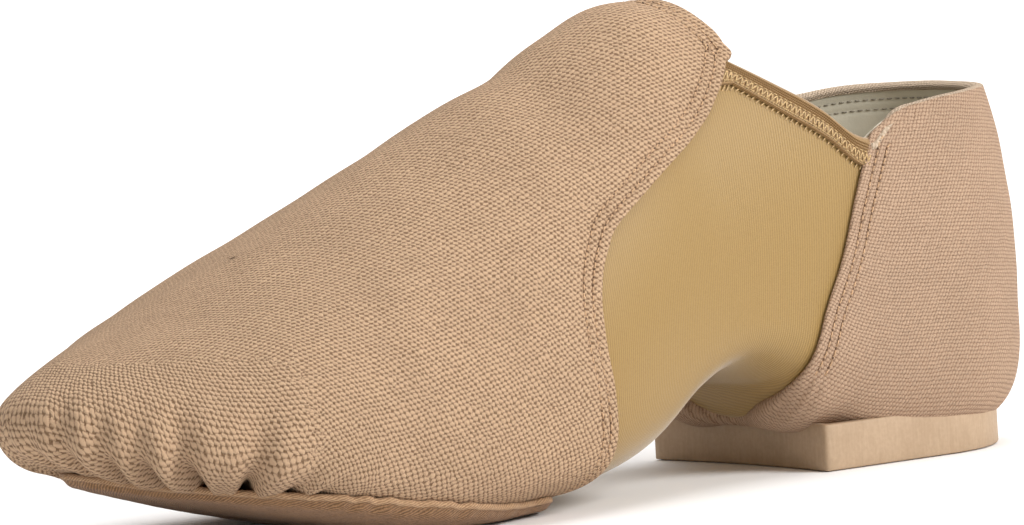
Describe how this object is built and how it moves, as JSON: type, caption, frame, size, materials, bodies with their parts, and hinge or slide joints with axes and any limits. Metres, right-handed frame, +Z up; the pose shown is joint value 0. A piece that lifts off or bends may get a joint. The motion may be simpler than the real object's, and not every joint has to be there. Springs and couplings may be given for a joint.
{
  "type": "jazz dance shoe",
  "caption": "Slip-on split-sole jazz shoe: canvas vamp and heel quarter on a stretch midfoot, elastic topline, suede forefoot patch and low heel block.",
  "frame": {"origin": "middle of the heel block's flat underside, on the floor", "axes": "+X from heel to toe, +Y to the shoe's left, which is the inner side of the foot, +Z up"},
  "size_m": [0.2532, 0.0926, 0.0981],
  "materials": {
    "canvas": "coarse plain weave, matte",
    "stretch": "smooth stretch cloth with a satin sheen",
    "elastic": "ribbed, matte",
    "suede": "napped, matte",
    "heel_leather": "smooth, satin",
    "sock": "matte"
  },
  "bodies": {
    "root": {"upper": "stretch", "vamp": "canvas", "quarter": "canvas", "binding_left": "elastic", "binding_right": "elastic", "insole": "sock", "forefoot_sole": "suede", "heel": "heel_leather"}
  },
  "joints": []
}
